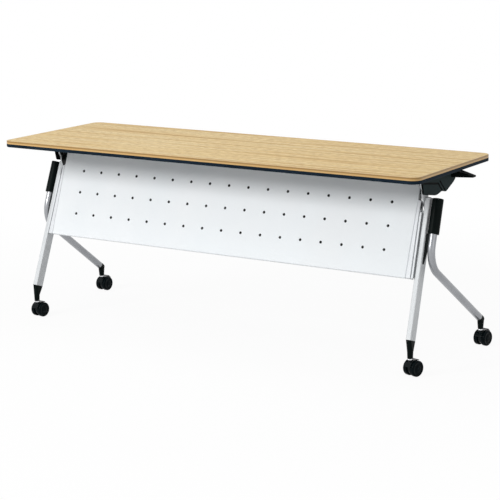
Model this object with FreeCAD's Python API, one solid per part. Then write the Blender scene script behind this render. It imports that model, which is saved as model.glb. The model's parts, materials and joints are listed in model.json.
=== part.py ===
import FreeCAD, Part
import math
import os

V = FreeCAD.Vector

# Flip-top conference table on casters. Millimetres, X along the table, -Y the modesty
# panel's side, +Z up. Drawn with the top's middle at x = y = 0 and moved at the end so that
# the origin is on the floor under the middle of the whole footprint.
# The right-hand end is modelled and mirrored to the left.

# Table top
table_length = 1800.0
table_depth = 600.0
table_height = 720.0
top_corner_radius = 35.0
wood_band_height = 11.5
black_band_height = 12.5
band_thickness = 2.0
laminate_thickness = 1.2
backer_thickness = 0.8
band_edge_round = 1.2
black_edge_round = 1.8

# Main legs: rectangular tube, foot forward and a little outboard
leg_width = 20.0
leg_depth = 40.0
leg_wall = 1.6
leg_corner_radius = 3.5
leg_lean = 20.2
leg_splay = 2.05
leg_foot_inset = 67.4
leg_foot_y = -204.6
leg_cap_thickness = 2.0
plug_length = 26.0
plug_clearance = 0.1

# Rear legs: round tube beside the main leg, bent towards the user's side
rear_tube_diameter = 27.2
rear_tube_wall = 1.6
rear_tube_outboard = 34.0
rear_tube_forward = 5.0
rear_bend_below_top = 235.0
rear_bend_radius = 90.0
sleeve_diameter = 40.0
sleeve_length = 126.0
sleeve_cap = 4.0
sleeve_round = 2.0
web_thickness = 12.0
web_length = 108.0
web_short_side = 46.0

# Feet and casters
front_caster_outboard = 2.0
front_caster_ahead = 6.3
rear_caster_inset = 20.3
rear_caster_y = 273.6
elbow_height = 38.0
elbow_grip = 19.0
elbow_top_radius = 13.0
foot_above_wheels = 8.0
foot_bottom_radius = 10.0
socket_height = 62.0
socket_neck_height = 23.0
socket_neck_radius = 10.8
stem_radius = 4.0
stem_insertion = 32.0
collar_radius = 9.0
collar_height = 5.0
wheel_radius = 29.0
wheel_inner = 8.0
wheel_width = 17.0
wheel_tread_round = 6.0
wheel_inner_round = 2.5
wheel_face_dish = 1.4
wheel_hub_height = 1.0
wheel_floor_gap = 0.4
wheel_hub_radius = 9.5
axle_radius = 4.0
axle_reach = 20.5
caster_trail = 16.0
caster_yaw = {"front_right": -16.0, "rear_right": -10.0, "front_left": -5.0, "rear_left": -2.0}
running_clearance = 0.05
hood_web = 6.5
hood_half_width = 14.0
hood_gap = 1.4
hood_thickness = 2.8
hood_front_angle = 165.0
hood_rear_angle = 62.0
hood_inside_rim = 6.0
neck_nose = 4.2
neck_round = 3.0
boss_radius = 7.2
boss_gap = 0.6
stem_in_boss = 18.0
stem_end_gap = 0.5
collar_round = 1.2
pedal_half_width = 9.5
pedal_hub_radius = 3.2
pedal_pin_radius = 2.0
pedal_sweep = 34.0
pedal_thickness = 3.4
pedal_stand_off = 1.2
pedal_travel = 12.0
pedal_axis_lift = 1.2
pedal_clearance = 0.4

# Modesty panel: perforated sheet pan, parallel to the main legs
panel_ahead_of_leg = 9.6
panel_row_below_leg_top = 29.3
panel_above_row = 92.0
panel_below_row = 262.0
panel_sheet = 1.2
panel_flange = 26.0
panel_bend_radius = 2.5
panel_corner_radius = 3.0
hole_diameter = 7.5
hole_side_margin = 99.4
hole_columns = 17
hole_rows = 3

# Panel rails, their mounting bars and the cross beam
rail_width = 10.5
rail_wall = 2.0
rail_bend_radius = 2.5
rail_gap = 1.5
rail_top_above_row = 20.0
rail_top_drop = 6.0
rail_slot_above_row = 11.0
rail_slot_height = 27.0
rail_slot_width = 13.0
rail_slot_back = 5.0
rail_plug_length = 46.0
mount_bar_thickness = 8.0
mount_bar_depth = 12.0
mount_bar_setback = 4.0
mount_bar_below_leg_top = 46.0
mount_bar_above_rail_end = 6.0
beam_height = 60.0
beam_depth = 20.0
beam_wall = 1.6
beam_corner_radius = 3.0
beam_below_leg_top = 115.0
beam_setback = 18.5
panel_screw_radius = 2.5
panel_screw_head = 4.5
panel_screw_head_height = 2.6
panel_screw_bite = 6.0
panel_screw_count = 3
panel_screw_margin = 34.0

# Flip hinge
pivot_below_top = 38.0
pivot_above_leg = 58.0
pivot_ahead_of_leg = 17.3
hinge_plate_thickness = 6.0
hinge_disc_radius = 30.0
hinge_neck_half = 20.0
hinge_neck_low = 10.0
hinge_neck_round = 4.0
hinge_front_knee = (-18.0, -45.0)
hinge_front_round = 60.0
hinge_tail_front = (7.0, -100.0)
hinge_tail_back = (17.0, -103.0)
hinge_tail_round = 4.5
hinge_back_knee = (27.0, -66.0)
hinge_back_round = 20.0
hinge_pad_top = -68.0
hinge_pin_radius = 5.0
hinge_bush_wall = 2.0
hinge_bush_overhang = 1.0
hinge_pin_head = 7.5
hinge_pin_head_height = 1.4
pin_head_room = 0.3
cheek_inner = 8.0
cheek_thickness = 3.0
flange_thickness = 3.0
flange_half_width = 30.0
flange_round = 6.0
cheek_low = 17.0
cheek_front_run = 8.0
cheek_back_run = 20.0
cheek_waist_round = 30.0
cheek_shaft_round = 10.0
cheek_shaft_margin = 3.0
cheek_shaft_back = 8.0
cheek_seat_margin = 4.0
guide_tab = 4.0
guide_weld = 0.5

# Lock bolt, release shaft and levers
shaft_behind_pivot = 194.0
shaft_above_pivot = 10.0
shaft_radius = 6.0
crank_radius = 20.0
crank_thickness = 2.6
crank_gap = 0.8
crank_eye = 10.5
crank_pin_radius = 3.0
crank_foot_margin = 2.5
crank_slot_rise = 3.0
crank_slot_clearance = 0.35
bolt_thickness = 5.0
bolt_height = 14.0
bolt_drop = 4.0
shoe_gap = 0.3
bolt_clearance = 0.4
bolt_tail = 6.0
bolt_round = 1.5
paddle_round = 3.0
bolt_guide_behind_pivot = 88.0
spring_radius = 4.6
spring_wire = 1.2
spring_turns = 5
spring_length = 18.0
lever_gap = 1.4
lever_length = 77.6
lever_root_front = 10.0
lever_root_back = 46.0
lever_root_low = 18.0
lever_root_high = 8.0
lever_tip_front = -2.0
lever_tip_back = 30.0
lever_tip_low = 15.0
lever_tip_high = 9.0
lever_round = 4.0
lever_tip_round = 2.6
shaft_insertion = 14.0

# Hinge covers
cover_half_width = 14.0
cover_slot_half = 7.2
cover_wall = 2.5
cover_split = 0.15
cover_front_top = 50.0
cover_front_low = (-32.0, -37.0)
cover_front_round = 10.0
cover_belly = (68.0, -55.5)
cover_belly_round = 90.0
cover_notch = (116.0, -45.5)
cover_notch_round = 4.0
cover_tail = (146.0, -54.0)
cover_tail_round = 26.0
cover_heel = (214.0, -24.0)
cover_heel_round = 70.0
cover_rear = 253.0
cover_rear_drop = 18.0
cover_rear_round = 30.0
cover_close = 124.0
cover_edge_round = 2.0
groove_width = 3.0
groove_depth = 1.0
groove_pitch = 21.0
groove_round = 1.0
chevron_start = (79.0, -13.0)
chevron_run = (36.0, -34.0)
crease_start = (-38.0, 6.0)
crease_end = (81.0, -12.0)
shaft_hole_clearance = 0.5

# Fasteners in the board
board_screw_radius = 2.0
board_screw_length = 13.0
board_screw_head = 4.2
board_screw_head_height = 2.4
board_screw_head_round = 1.4
board_screw_inset = 7.0
board_screw_rows = (-38.0, 68.0, 158.0, 242.0)

# Places worked out from the sizes above
underside = table_height - wood_band_height - black_band_height
band_split = underside + black_band_height
flange_low = underside - flange_thickness
leg_foot_x = table_length / 2 - leg_foot_inset
rear_caster_x = table_length / 2 - rear_caster_inset
foot_bottom_z = 2 * wheel_radius + foot_above_wheels
leg_foot_z = foot_bottom_z + socket_height
socket_neck_z = foot_bottom_z + socket_neck_height
elbow_knee_z = foot_bottom_z + elbow_height
stem_top = foot_bottom_z + stem_insertion
boss_top = foot_bottom_z - collar_height - boss_gap
front_caster_x = leg_foot_x + front_caster_outboard
front_caster_y = leg_foot_y - front_caster_ahead
pivot_z = underside - pivot_below_top
nodes = {}


def rounded_wire(corners, place):
    """Closed wire through (a, b, radius) corners, put in space by place(a, b)."""
    count = len(corners)
    starts = []
    mids = []
    ends = []
    for index in range(count):
        a, b, radius = corners[index]
        here = V(a, b, 0)
        before = V(corners[index - 1][0], corners[index - 1][1], 0)
        after = V(corners[(index + 1) % count][0], corners[(index + 1) % count][1], 0)
        inward = (before - here).normalize()
        outward = (after - here).normalize()
        half = inward.getAngle(outward) / 2
        reach = radius / math.tan(half)
        middle = here
        if radius > 0:
            bisector = (inward + outward).normalize()
            middle = here + bisector * (radius / math.sin(half) - radius)
        starts.append(here + inward * reach)
        mids.append(middle)
        ends.append(here + outward * reach)
    edges = []
    for index in range(count):
        before = ends[index - 1]
        start = starts[index]
        if before.distanceToPoint(start) > 1e-6:
            edges.append(Part.LineSegment(place(before.x, before.y), place(start.x, start.y)).toShape())
        if corners[index][2] > 0:
            middle = mids[index]
            end = ends[index]
            bend = Part.Arc(place(start.x, start.y), place(middle.x, middle.y), place(end.x, end.y))
            edges.append(bend.toShape())
    return Part.Wire(edges)


def rectangle(a0, a1, b0, b1, radius=0.0):
    return [(a0, b0, radius), (a1, b0, radius), (a1, b1, radius), (a0, b1, radius)]


def prism_x(corners, x0, x1):
    wire = rounded_wire(corners, lambda y, z: V(x0, y, z))
    return Part.Face(wire).extrude(V(x1 - x0, 0, 0))


def prism_z(corners, z0, z1):
    wire = rounded_wire(corners, lambda x, y: V(x, y, z0))
    return Part.Face(wire).extrude(V(0, 0, z1 - z0))


def box(x0, x1, y0, y1, z0, z1):
    return Part.makeBox(x1 - x0, y1 - y0, z1 - z0, V(x0, y0, z0))


def rod_x(x0, x1, y, z, radius):
    return Part.makeCylinder(radius, x1 - x0, V(x0, y, z), V(1, 0, 0))


def fuse(shapes):
    return shapes[0].fuse(shapes[1:]).removeSplitter()


def axes_matrix(first, second, third, origin):
    return FreeCAD.Matrix(
        first.x, second.x, third.x, origin.x,
        first.y, second.y, third.y, origin.y,
        first.z, second.z, third.z, origin.z,
        0, 0, 0, 1)


def keep(name, shape):
    nodes[name] = shape


def mirrored(shape):
    return shape.mirror(V(0, 0, 0), V(1, 0, 0))


def keep_pair(name, shape):
    keep("right_" + name, shape)
    keep("left_" + name, mirrored(shape))


def keep_both(name, shape):
    keep(name, Part.makeCompound([shape, mirrored(shape)]))


# Leg frame: first axis outboard, second towards the user, third up along the leg
leg_up = V(-math.tan(math.radians(leg_splay)), math.tan(math.radians(leg_lean)), 1).normalize()
leg_out = (V(1, 0, 0) - leg_up * leg_up.x).normalize()
leg_back = leg_up.cross(leg_out)
leg_foot = V(leg_foot_x, leg_foot_y, leg_foot_z)
leg_length = (pivot_z - pivot_above_leg - leg_foot_z) / leg_up.z
leg_matrix = axes_matrix(leg_out, leg_back, leg_up, leg_foot)


def leg_point(out, back, up):
    return leg_foot + leg_out * out + leg_back * back + leg_up * up


def in_leg(shape):
    return shape.transformGeometry(leg_matrix)


# Hinge, shaft and lock places, from the top of the leg
leg_top = leg_point(0, 0, leg_length)
hinge_x = leg_point(-leg_width / 2, 0, leg_length).x - hinge_plate_thickness / 2
pivot_y = leg_top.y - pivot_ahead_of_leg
shaft_y = pivot_y + shaft_behind_pivot
shaft_z = pivot_z + shaft_above_pivot
bolt_z = pivot_z - bolt_drop
bolt_tail_y = shaft_y + bolt_tail
spring_seat_y = bolt_tail_y + spring_length
cover_front_y = pivot_y - cover_front_top
cover_rear_y = pivot_y + cover_rear

# Panel frame: X along the table, second axis into the panel's depth, third down the face
panel_back = leg_back
panel_down = V(0, leg_back.z, -leg_back.y)
panel_origin = leg_point(0, -leg_depth / 2 - panel_ahead_of_leg, leg_length - panel_row_below_leg_top)
panel_origin.x = 0


def panel_point(x, back, down):
    return V(x, 0, 0) + panel_origin + panel_back * back + panel_down * down


def panel_prism(corners, back0, back1):
    wire = rounded_wire(corners, lambda x, down: panel_point(x, back0, down))
    return Part.Face(wire).extrude(panel_back * (back1 - back0))


def leg_inner_x(z):
    """Outboard place of the leg's inner face on its centre line at height z."""
    up = (z - leg_foot_z) / leg_up.z
    return leg_point(-leg_width / 2, 0, up).x


def rail_outer_x(down):
    return leg_inner_x(panel_point(0, 0, down).z) - mount_bar_thickness - rail_gap


panel_half_width = rail_outer_x(-rail_top_above_row) - rail_width
hole_pitch = 2 * (panel_half_width - hole_side_margin) / (hole_columns - 1)

# The leg seen as a solid block that pieces welded to its faces are trimmed by
leg_trim = in_leg(box(-leg_width / 2, 2 * leg_depth, -leg_depth, leg_depth, -leg_depth,
                      leg_length + leg_cap_thickness))


def make_board():
    half_x = table_length / 2
    half_y = table_depth / 2
    outer = rectangle(-half_x, half_x, -half_y, half_y, top_corner_radius)
    inset = band_thickness
    inner = rectangle(-half_x + inset, half_x - inset, -half_y + inset, half_y - inset,
                      top_corner_radius - inset)
    laminate_low = table_height - laminate_thickness
    backer_top = underside + backer_thickness
    core = prism_z(inner, backer_top, laminate_low)
    backer = prism_z(inner, underside, backer_top)
    laminate = prism_z(inner, laminate_low, table_height)
    wood_block = prism_z(outer, band_split, table_height)
    top_edges = [e for e in wood_block.Edges if abs(e.BoundBox.ZMin - table_height) < 1e-6]
    wood_band = wood_block.makeFillet(band_edge_round, top_edges)
    wood_band = wood_band.cut(prism_z(inner, band_split, table_height))
    black_block = prism_z(outer, underside, band_split)
    low_edges = [e for e in black_block.Edges if abs(e.BoundBox.ZMax - underside) < 1e-6]
    black_band = black_block.makeFillet(black_edge_round, low_edges)
    black_band = black_band.cut(prism_z(inner, underside, band_split))
    screws = board_screws()
    pilots = [Part.makeCylinder(board_screw_radius, board_screw_length - flange_thickness, V(x, y, underside))
              for x, y in screw_places()]
    pilots = Part.makeCompound(pilots + [mirrored(p) for p in pilots])
    keep("board_core", core.cut(pilots))
    keep("top_laminate", laminate)
    keep("underside_sheet", backer.cut(pilots))
    keep("wood_edge_band", wood_band)
    keep("black_edge_band", black_band)
    keep("board_screws", Part.makeCompound(screws + [mirrored(s) for s in screws]))


def screw_places():
    offset = flange_half_width - board_screw_inset
    screw_rows = [pivot_y + row for row in board_screw_rows]
    return [(hinge_x + side * offset, y) for side in (-1, 1) for y in screw_rows]


def board_screws():
    screws = []
    for x, y in screw_places():
        shank = Part.makeCylinder(board_screw_radius, board_screw_length, V(x, y, flange_low))
        head = Part.makeCylinder(board_screw_head, board_screw_head_height,
                                 V(x, y, flange_low - board_screw_head_height))
        rim = [e for e in head.Edges if abs(e.BoundBox.ZMax - flange_low + board_screw_head_height) < 1e-6]
        head = head.makeFillet(board_screw_head_round, rim)
        screws.append(fuse([head, shank]))
    return screws


def make_legs():
    outer = rectangle(-leg_width / 2, leg_width / 2, -leg_depth / 2, leg_depth / 2, leg_corner_radius)
    hollow = rectangle(-leg_width / 2 + leg_wall, leg_width / 2 - leg_wall,
                       -leg_depth / 2 + leg_wall, leg_depth / 2 - leg_wall, leg_corner_radius - leg_wall)
    tube = prism_z(outer, 0, leg_length).cut(prism_z(hollow, 0, leg_length))
    keep_pair("main_leg", in_leg(tube))
    room = leg_wall + plug_clearance
    plug = rectangle(-leg_width / 2 + room, leg_width / 2 - room, -leg_depth / 2 + room, leg_depth / 2 - room,
                     leg_corner_radius - room)
    cap = prism_z(outer, leg_length, leg_length + leg_cap_thickness)
    cap = fuse([cap, prism_z(plug, leg_length - plug_length / 2, leg_length)])
    keep_both("leg_caps", in_leg(cap))
    make_front_socket(outer, plug)


def make_front_socket(outer, plug):
    neck = socket_neck_radius
    foot = foot_bottom_radius
    nearly_round = 0.98

    def ring(radius, z):
        corners = rectangle(-radius, radius, -radius, radius, radius * nearly_round)
        return rounded_wire(corners, lambda x, y: V(front_caster_x + x, front_caster_y + y, z))

    top = rounded_wire(outer, lambda a, b: leg_point(a, b, 0))
    upper = Part.makeLoft([top, ring(neck, socket_neck_z)], True, True)
    lower = Part.makeLoft([ring(neck, socket_neck_z), ring(foot, foot_bottom_z)], True, True)
    socket = fuse([upper, lower, in_leg(prism_z(plug, 0, plug_length))])
    bore = Part.makeCylinder(stem_radius, stem_insertion, V(front_caster_x, front_caster_y, foot_bottom_z))
    keep_pair("front_socket", socket.cut(bore))


def make_rear_legs():
    side = rear_tube_outboard
    ahead = -rear_tube_forward
    top = leg_point(side, ahead, leg_length - sleeve_cap)
    corner = leg_point(side, ahead, leg_length - rear_bend_below_top)
    knee = V(rear_caster_x, rear_caster_y, elbow_knee_z)
    down = (knee - corner).normalize()
    end = knee - down * elbow_grip
    half = leg_up.getAngle(down) / 2
    reach = rear_bend_radius / math.tan(half)
    start_arc = corner + leg_up * reach
    end_arc = corner + down * reach
    bisector = (leg_up + down).normalize()
    middle = corner + bisector * (rear_bend_radius / math.sin(half) - rear_bend_radius)
    path = Part.Wire([
        Part.LineSegment(top, start_arc).toShape(),
        Part.Arc(start_arc, middle, end_arc).toShape(),
        Part.LineSegment(end_arc, end).toShape()])

    def sweep(radius):
        ring = Part.Wire([Part.Circle(top, leg_up, radius).toShape()])
        return path.makePipeShell([ring], True, False)

    bar = sweep(rear_tube_diameter / 2)
    keep_pair("rear_leg", bar.cut(sweep(rear_tube_diameter / 2 - rear_tube_wall)))

    sleeve_low = leg_length - sleeve_length
    sleeve = Part.makeCylinder(sleeve_diameter / 2, sleeve_length, V(side, ahead, sleeve_low))
    rims = [e for e in sleeve.Edges if e.Curve.TypeId == "Part::GeomCircle"]
    sleeve = sleeve.makeFillet(sleeve_round, rims)
    sleeve = sleeve.cut(Part.makeCylinder(rear_tube_diameter / 2, sleeve_length - sleeve_cap,
                                          V(side, ahead, sleeve_low)))
    keep_pair("sleeve", in_leg(sleeve))

    inner_side = side - rear_tube_diameter / 2
    web_step = sleeve_low - web_short_side
    web_outline = [(leg_width / 2, sleeve_low, 0), (side, sleeve_low, 0), (side, web_step, 0),
                   (inner_side, web_step, 0), (leg_width / 2, sleeve_low - web_length, 0)]
    web = Part.Face(rounded_wire(web_outline, lambda out, up: V(out, ahead - web_thickness / 2, up)))
    web = web.extrude(V(0, web_thickness, 0))
    keep_both("leg_webs", in_leg(web).cut(bar))

    radius = rear_tube_diameter / 2
    inclined = Part.makeCylinder(radius, elbow_grip, end, down)
    plug_radius = radius - rear_tube_wall - plug_clearance
    plug = Part.makeCylinder(plug_radius, plug_length, end - down * plug_length, down)
    knob = Part.makeSphere(radius, knee)
    post = Part.makeCone(foot_bottom_radius, elbow_top_radius, elbow_knee_z - foot_bottom_z,
                         V(rear_caster_x, rear_caster_y, foot_bottom_z))
    elbow = fuse([inclined, knob, post, plug])
    bore = Part.makeCylinder(stem_radius, stem_insertion, V(rear_caster_x, rear_caster_y, foot_bottom_z))
    keep_pair("rear_elbow", elbow.cut(bore))


def bent_front(block, radius, back=0.0):
    """Block of folded sheet with the bends between its face and its returns rounded."""
    bends = []
    for edge in block.Edges:
        ends = [(vertex.Point - panel_origin).dot(panel_back) for vertex in edge.Vertexes]
        if max(abs(end - back) for end in ends) < 1e-6:
            bends.append(edge)
    return block.makeFillet(radius, bends)


def make_panel():
    half = panel_half_width
    wall = panel_sheet
    face = rectangle(-half, half, -panel_above_row, panel_below_row, panel_corner_radius)
    pocket = rectangle(-half + wall, half - wall, -panel_above_row + wall, panel_below_row - wall,
                       panel_corner_radius - wall)
    pan = bent_front(panel_prism(face, 0, panel_flange), panel_bend_radius)
    pan = pan.cut(bent_front(panel_prism(pocket, wall, panel_flange), panel_bend_radius - wall, wall))
    holes = []
    for row in range(hole_rows):
        for column in range(hole_columns):
            x = (column - (hole_columns - 1) / 2) * hole_pitch
            start = panel_point(x, 0, row * hole_pitch)
            holes.append(Part.makeCylinder(hole_diameter / 2, wall, start, panel_back))
    keep("modesty_panel", pan.cut(Part.makeCompound(holes)))
    keep("panel_back", panel_prism(pocket, panel_flange - wall, panel_flange))


def make_rails():
    half = panel_half_width
    wall = rail_wall
    top_in = -rail_top_above_row
    top_out = top_in + rail_top_drop
    low = panel_below_row
    outer_top = rail_outer_x(top_out)
    outer_low = rail_outer_x(low)
    outline = [(half, top_in, 0), (outer_top, top_out, 0), (outer_low, low, 0), (half, low, 0)]
    pocket = [(half + wall, top_in + wall, 0), (outer_top - wall, top_out + wall, 0),
              (outer_low - wall, low - wall, 0), (half + wall, low - wall, 0)]
    rail = bent_front(panel_prism(outline, 0, panel_flange), rail_bend_radius)
    rail = rail.cut(panel_prism(pocket, wall, panel_flange))
    slot_top = -rail_slot_above_row
    slot = panel_prism(rectangle(outer_top - 2 * wall, outer_low, slot_top, slot_top + rail_slot_height),
                       rail_slot_back, rail_slot_back + rail_slot_width)
    plug_low = top_in + rail_plug_length
    plug_end = panel_prism(rectangle(half, outer_low, top_in, plug_low), wall, panel_flange)
    plug = panel_prism(pocket, wall, panel_flange).common(plug_end)
    keep_both("rail_caps", plug)

    bar_front = -leg_depth / 2 + mount_bar_setback
    bar_top = leg_length - mount_bar_below_leg_top
    bar_low = leg_length - panel_row_below_leg_top - low + mount_bar_above_rail_end
    bar = in_leg(box(-leg_width / 2 - mount_bar_thickness, -leg_width / 2,
                     bar_front, bar_front + mount_bar_depth, bar_low, bar_top))
    screw_back = panel_ahead_of_leg + mount_bar_setback + mount_bar_depth / 2
    first = plug_low + panel_screw_margin
    pitch = (low - panel_screw_margin - first) / (panel_screw_count - 1)
    screws = []
    for index in range(panel_screw_count):
        down = first + index * pitch
        seat = rail_outer_x(down) - wall
        middle = panel_point(0, screw_back, down)
        length = wall + rail_gap + panel_screw_bite
        shank = rod_x(seat, seat + length, middle.y, middle.z, panel_screw_radius)
        head = rod_x(seat - panel_screw_head_height, seat, middle.y, middle.z, panel_screw_head)
        washer = rod_x(seat + wall, seat + wall + rail_gap, middle.y, middle.z, panel_screw_head)
        screws.append(fuse([head, shank, washer]))
    tool = Part.makeCompound(screws)
    keep_pair("panel_rail", rail.cut([slot, tool]))
    keep_pair("main_leg", fuse([nodes["right_main_leg"], bar.cut(tool)]))
    keep("panel_screws", Part.makeCompound(screws + [mirrored(s) for s in screws]))


def make_beam():
    half_height = beam_height / 2
    beam_station = leg_length - beam_below_leg_top
    front = beam_setback - beam_depth
    section = rectangle(front, beam_setback, beam_station - half_height, beam_station + half_height,
                        beam_corner_radius)
    hollow = rectangle(front + beam_wall, beam_setback - beam_wall, beam_station - half_height + beam_wall,
                       beam_station + half_height - beam_wall, beam_corner_radius - beam_wall)
    reach = leg_foot_x

    def lean_point(back, up):
        point = leg_point(0, back, up)
        return V(-reach, point.y, point.z)

    solid = Part.Face(rounded_wire(section, lean_point)).extrude(V(2 * reach, 0, 0))
    tunnel = Part.Face(rounded_wire(hollow, lean_point)).extrude(V(2 * reach, 0, 0))
    beam = solid.cut(tunnel).cut(leg_trim).cut(mirrored(leg_trim))
    keep("cross_beam", beam)


def from_pivot(offset, radius):
    return pivot_y + offset[0], pivot_z + offset[1], radius


def make_hinge_plate():
    half = hinge_plate_thickness / 2
    x0 = hinge_x - half
    x1 = hinge_x + half
    neck = hinge_neck_half
    tail_front = from_pivot(hinge_tail_front, hinge_tail_round)
    tail_back = from_pivot(hinge_tail_back, hinge_tail_round)
    back_knee = from_pivot(hinge_back_knee, hinge_back_round)
    front_knee = from_pivot(hinge_front_knee, hinge_front_round)
    outline = [tail_front, tail_back, back_knee, from_pivot((neck, -hinge_neck_low), hinge_neck_round),
               from_pivot((-neck, -hinge_neck_low), hinge_neck_round), front_knee]
    plate = fuse([prism_x(outline, x0, x1), rod_x(x0, x1, pivot_y, pivot_z, hinge_disc_radius)])
    pad = prism_x(outline, x1, x1 + leg_width / 2)
    pad = pad.common(box(x1, x1 + leg_width / 2, -table_depth, table_depth, 0, pivot_z + hinge_pad_top))
    plate = fuse([plate, pad]).cut(leg_trim)
    bush_outer = hinge_pin_radius + running_clearance + hinge_bush_wall
    plate = plate.cut(rod_x(x0, x1, pivot_y, pivot_z, bush_outer))
    keep_pair("hinge_plate", plate)
    bush = rod_x(x0 - hinge_bush_overhang, x1 + hinge_bush_overhang, pivot_y, pivot_z, bush_outer)
    bush = bush.cut(rod_x(x0 - hinge_bush_overhang, x1 + hinge_bush_overhang, pivot_y, pivot_z,
                          hinge_pin_radius + running_clearance))
    keep_both("hinge_bushes", bush)
    outer = cheek_inner + cheek_thickness
    pin = rod_x(hinge_x - outer, hinge_x + outer, pivot_y, pivot_z, hinge_pin_radius)
    head = rod_x(hinge_x + outer, hinge_x + outer + hinge_pin_head_height, pivot_y, pivot_z, hinge_pin_head)
    keep_both("hinge_pins", fuse([pin, head]))


def make_top_bracket():
    front = cover_front_y
    rear = cover_rear_y
    reach = flange_half_width
    flange_outline = rectangle(hinge_x - reach, hinge_x + reach, front, rear, flange_round)
    flange = prism_z(flange_outline, flange_low, underside)
    low = pivot_z - cheek_low
    shaft_low = shaft_z - crank_eye - cheek_shaft_margin
    outline = [
        (pivot_y - cheek_low - cheek_front_run, flange_low, 0), (pivot_y - cheek_low, low, cheek_low),
        (pivot_y + cheek_low + cheek_back_run, low, cheek_waist_round),
        (shaft_y - cheek_waist_round, shaft_low, cheek_waist_round),
        (shaft_y + crank_eye + cheek_shaft_back, shaft_low, cheek_shaft_round),
        (spring_seat_y + cheek_seat_margin, flange_low, 0)]
    cheeks = []
    for side in (-1, 1):
        near = hinge_x + side * cheek_inner
        far = hinge_x + side * (cheek_inner + cheek_thickness)
        cheeks.append(prism_x(outline, min(near, far), max(near, far)))
    inner = cheek_inner + guide_weld
    guide_y = pivot_y + bolt_guide_behind_pivot
    tab_low = bolt_z - bolt_height / 2 - guide_tab
    guide = box(hinge_x - inner, hinge_x + inner, guide_y, guide_y + cheek_thickness, tab_low, flange_low)
    room = bolt_clearance
    guide = guide.cut(box(hinge_x - bolt_thickness / 2 - room, hinge_x + bolt_thickness / 2 + room,
                          guide_y, guide_y + cheek_thickness,
                          bolt_z - bolt_height / 2 - room, bolt_z + bolt_height / 2 + room))
    seat = box(hinge_x - inner, hinge_x + inner, spring_seat_y, spring_seat_y + cheek_thickness,
               bolt_z - spring_radius - spring_wire, flange_low)
    bracket = fuse([flange, cheeks[0], cheeks[1], guide, seat])
    holes = [rod_x(hinge_x - reach, hinge_x + reach, pivot_y, pivot_z, hinge_pin_radius),
             rod_x(hinge_x - reach, hinge_x + reach, shaft_y, shaft_z, shaft_radius + running_clearance)]
    for x, y in screw_places():
        holes.append(Part.makeCylinder(board_screw_radius, flange_thickness, V(x, y, flange_low)))
    keep_pair("top_bracket", bracket.cut(holes))


def make_lock():
    pin_z = shaft_z - crank_radius
    x0 = hinge_x - bolt_thickness / 2
    x1 = hinge_x + bolt_thickness / 2
    tip = pivot_y + hinge_disc_radius / 2
    tail = bolt_tail_y
    low = bolt_z - bolt_height / 2
    high = bolt_z + bolt_height / 2
    bar = prism_x(rectangle(tip, tail, low, high, bolt_round), x0, x1)
    paddle = prism_x(rectangle(shaft_y - bolt_tail, tail, pin_z - bolt_tail, high, paddle_round), x0, x1)
    room = crank_pin_radius + crank_slot_clearance
    slot = fuse([rod_x(x0, x1, shaft_y, pin_z, room), rod_x(x0, x1, shaft_y, pin_z + crank_slot_rise, room),
                 box(x0, x1, shaft_y - room, shaft_y + room, pin_z, pin_z + crank_slot_rise)])
    rim = rod_x(x0, x1, pivot_y, pivot_z, hinge_disc_radius + shoe_gap)
    keep_both("lock_slides", fuse([bar, paddle]).cut([slot, rim]))

    arm0 = x1 + crank_gap
    arm1 = arm0 + crank_thickness
    eye = rod_x(arm0, arm1, shaft_y, shaft_z, crank_eye)
    width = crank_pin_radius + crank_foot_margin
    foot = rod_x(arm0, arm1, shaft_y, pin_z, width)
    arm = box(arm0, arm1, shaft_y - width, shaft_y + width, pin_z, shaft_z)
    pin = rod_x(x0, arm1, shaft_y, pin_z, crank_pin_radius)
    crank = fuse([eye, foot, arm, pin]).cut(rod_x(arm0, arm1, shaft_y, shaft_z, shaft_radius))
    keep_both("release_cranks", crank)

    shaft_end = hinge_x + cover_half_width + lever_gap + shaft_insertion
    keep("release_shaft", rod_x(-shaft_end, shaft_end, shaft_y, shaft_z, shaft_radius))

    length = spring_length - spring_wire
    pitch = length / spring_turns
    helix = Part.makeHelix(pitch, length, spring_radius)
    profile = Part.Wire([Part.Circle(V(spring_radius, 0, 0), V(0, 1, 0), spring_wire / 2).toShape()])
    coil = Part.Wire(helix.Edges).makePipeShell([profile], True, True)
    coil.rotate(V(0, 0, 0), V(1, 0, 0), -90)
    coil.translate(V(hinge_x, bolt_tail_y + spring_wire / 2, bolt_z))
    keep_both("bolt_springs", coil)


def make_lever():
    root_x = hinge_x + cover_half_width + lever_gap
    root = rectangle(shaft_y - lever_root_front, shaft_y + lever_root_back,
                     shaft_z - lever_root_low, shaft_z + lever_root_high, lever_round)
    tip = rectangle(shaft_y - lever_tip_front, shaft_y + lever_tip_back,
                    shaft_z - lever_tip_low, shaft_z - lever_tip_high, lever_tip_round)
    wires = [rounded_wire(root, lambda y, z: V(root_x, y, z)),
             rounded_wire(tip, lambda y, z: V(root_x + lever_length, y, z))]
    wing = Part.makeLoft(wires, True, True)
    wing = wing.cut(rod_x(root_x, root_x + shaft_insertion, shaft_y, shaft_z, shaft_radius))
    keep_pair("lever", wing)


def cover_outline(top):
    front_low = from_pivot(cover_front_low, cover_front_round)
    slope = (front_low[0] - cover_front_y) / (flange_low - front_low[1])
    front_y = cover_front_y - slope * (top - flange_low)
    return [
        (front_y, top, 0), front_low, from_pivot(cover_belly, cover_belly_round),
        from_pivot(cover_notch, cover_notch_round), from_pivot(cover_tail, cover_tail_round),
        from_pivot(cover_heel, cover_heel_round),
        (cover_rear_y, flange_low - cover_rear_drop, cover_rear_round), (cover_rear_y, top, 0)]


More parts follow.
